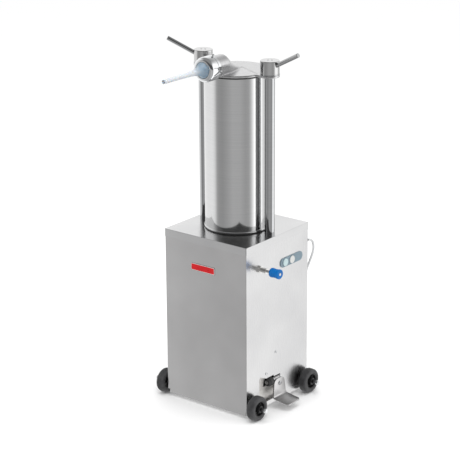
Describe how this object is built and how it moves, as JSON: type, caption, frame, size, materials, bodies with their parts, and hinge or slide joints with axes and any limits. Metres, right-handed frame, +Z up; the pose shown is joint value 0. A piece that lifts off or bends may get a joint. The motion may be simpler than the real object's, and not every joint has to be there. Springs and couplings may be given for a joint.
{
  "type": "sausage stuffer",
  "caption": "Floor-standing hydraulic sausage stuffer: square steel cabinet on wheels, upright meat barrel between two tie rods, swinging clamped lid with a front outlet and filling nozzle.",
  "frame": {"origin": "on the floor under the centre of the cabinet", "axes": "+X towards the control side, -Y along the nozzle, +Z up"},
  "size_m": [0.4807, 0.6536, 1.1667],
  "materials": {
    "satin_stainless": "fine vertical satin grain",
    "polished_stainless": "bright polished",
    "machined_stainless": "fine turned",
    "cast_stainless": "bead-blasted casting",
    "chrome_plate": "mirror",
    "painted_steel": "grey machine paint",
    "motor_paint": "blue-grey machine paint",
    "aluminium": "machined",
    "black_rubber": "matt",
    "tyre_rubber": "matt dark grey",
    "black_plastic": "matt",
    "blue_plastic": "semi-gloss",
    "nozzle_plastic": "milky translucent",
    "food_plastic": "white, matt",
    "plate_plastic": "blue-grey, satin",
    "button_green": "pale mint",
    "button_white": "off-white",
    "cable_sheath": "light grey PVC",
    "badge_enamel": "red enamel"
  },
  "bodies": {
    "cabinet": {"badge_plate": "badge_enamel", "barrel": "polished_stainless", "barrel_seal": "black_rubber", "base_plate": "satin_stainless", "button_plate": "plate_plastic", "control_box": "black_plastic", "cord_coil": "cable_sheath", "cord_gland": "black_plastic", "cord_strain_relief": "cable_sheath", "electric_motor": "motor_paint", "flow_valve": "machined_stainless", "front_panel": "satin_stainless", "gear_pump": "aluminium", "hydraulic_cylinder": "painted_steel", "hydraulic_hoses": "black_rubber", "inner_frame": "painted_steel", "left_side_panel": "satin_stainless", "mains_plug": "cable_sheath", "oil_tank": "painted_steel", "panel_screws": "polished_stainless", "pedal_bracket": "machined_stainless", "pedal_recess": "satin_stainless", "power_cord": "cable_sheath", "rear_cover": "satin_stainless", "right_side_panel": "satin_stainless", "spool_spring": "machined_stainless", "tie_rods": "polished_stainless", "top_cap": "satin_stainless", "valve_block": "aluminium", "wheel_axles": "polished_stainless"},
    "piston": {"ram_rod": "chrome_plate", "meat_piston": "food_plastic", "piston_seals": "black_rubber"},
    "lid": {"lid": "cast_stainless", "lid_gasket": "black_rubber"},
    "left_washer": {"left_clamp_washer": "polished_stainless"},
    "right_washer": {"right_clamp_washer": "polished_stainless"},
    "left_nut": {"left_clamp_nut": "machined_stainless", "left_clamp_lever": "polished_stainless"},
    "right_nut": {"right_clamp_nut": "machined_stainless", "right_clamp_lever": "polished_stainless"},
    "nozzle": {"nozzle": "nozzle_plastic"},
    "ring_nut": {"nozzle_ring_nut": "chrome_plate"},
    "speed_knob": {"speed_knob": "blue_plastic"},
    "start_button": {"start_button": "button_green"},
    "stop_button": {"stop_button": "button_white"},
    "rotor": {"motor_rotor": "aluminium"},
    "pedal": {"pedal_plate": "satin_stainless", "pedal_lever": "machined_stainless", "pedal_hub": "black_rubber", "pedal_bolt": "polished_stainless"},
    "spool": {"valve_spool": "machined_stainless"},
    "front_left_wheel": {"front_left_tyre": "tyre_rubber", "front_left_hub": "black_plastic"},
    "front_right_wheel": {"front_right_tyre": "tyre_rubber", "front_right_hub": "black_plastic"},
    "rear_left_wheel": {"rear_left_tyre": "tyre_rubber", "rear_left_hub": "black_plastic"},
    "rear_right_wheel": {"rear_right_tyre": "tyre_rubber", "rear_right_hub": "black_plastic"}
  },
  "joints": [
    {"name": "piston_stroke", "type": "slide", "parent": "cabinet", "child": "piston", "axis": [0, 0, 1], "range_m": [0, 0.44]},
    {"name": "lid_swing", "type": "hinge", "parent": "cabinet", "child": "lid", "pos_m": [-0.13, 0, 1.081], "axis": [0, 0, 1], "range_deg": [-120, 0]},
    {"name": "left_washer_lift", "type": "slide", "parent": "cabinet", "child": "left_washer", "axis": [0, 0, 1], "range_m": [0, 0.0031]},
    {"name": "left_nut_turn", "type": "hinge", "parent": "left_washer", "child": "left_nut", "pos_m": [-0.13, 0, 1.108], "axis": [0, 0, 1], "range_deg": [0, 360]},
    {"name": "right_washer_lift", "type": "slide", "parent": "cabinet", "child": "right_washer", "axis": [0, 0, 1], "range_m": [0, 0.0031]},
    {"name": "right_nut_turn", "type": "hinge", "parent": "right_washer", "child": "right_nut", "pos_m": [0.13, 0, 1.108], "axis": [0, 0, 1], "range_deg": [0, 360]},
    {"name": "nozzle_draw", "type": "slide", "parent": "lid", "child": "nozzle", "axis": [0, -1, 0], "range_m": [0, 0.0082]},
    {"name": "ring_nut_turn", "type": "hinge", "parent": "nozzle", "child": "ring_nut", "pos_m": [0, -0.143, 1.11], "axis": [0, -1, 0], "range_deg": [0, 720]},
    {"name": "speed_knob_turn", "type": "hinge", "parent": "cabinet", "child": "speed_knob", "pos_m": [0.225, -0.0956, 0.4884], "axis": [1, 0, 0], "range_deg": [0, 270]},
    {"name": "start_press", "type": "slide", "parent": "cabinet", "child": "start_button", "axis": [-1, 0, 0], "range_m": [0, 0.003], "stiffness_N_per_m": 600},
    {"name": "stop_press", "type": "slide", "parent": "cabinet", "child": "stop_button", "axis": [-1, 0, 0], "range_m": [0, 0.003], "stiffness_N_per_m": 600},
    {"name": "motor_spin", "type": "hinge", "parent": "cabinet", "child": "rotor", "pos_m": [-0.092, -0.078, 0.29], "axis": [0, 0, 1], "continuous": true},
    {"name": "pedal_press", "type": "hinge", "parent": "cabinet", "child": "pedal", "pos_m": [0.16, -0.008, 0.091], "axis": [0, 1, 0], "range_deg": [-6, 8], "stiffness_Nm_per_rad": 30},
    {"name": "spool_shift", "type": "slide", "parent": "cabinet", "child": "spool", "axis": [0, 0, 1], "range_m": [-0.0035, 0.0045], "deforming": ["spool_spring"]},
    {"name": "front_left_roll", "type": "hinge", "parent": "cabinet", "child": "front_left_wheel", "pos_m": [-0.185, -0.14, 0.04], "axis": [1, 0, 0], "continuous": true},
    {"name": "front_right_roll", "type": "hinge", "parent": "cabinet", "child": "front_right_wheel", "pos_m": [0.185, -0.14, 0.04], "axis": [1, 0, 0], "continuous": true},
    {"name": "rear_left_roll", "type": "hinge", "parent": "cabinet", "child": "rear_left_wheel", "pos_m": [-0.185, 0.14, 0.04], "axis": [1, 0, 0], "continuous": true},
    {"name": "rear_right_roll", "type": "hinge", "parent": "cabinet", "child": "rear_right_wheel", "pos_m": [0.185, 0.14, 0.04], "axis": [1, 0, 0], "continuous": true}
  ],
  "couplings": [
    {"joint": "left_washer_lift", "follows": "left_nut_turn", "m_per_rad": 0.00047746},
    {"joint": "right_washer_lift", "follows": "right_nut_turn", "m_per_rad": 0.00047746},
    {"joint": "nozzle_draw", "follows": "ring_nut_turn", "m_per_rad": 0.00063662},
    {"joint": "spool_shift", "follows": "pedal_press", "m_per_rad": 0.03}
  ]
}
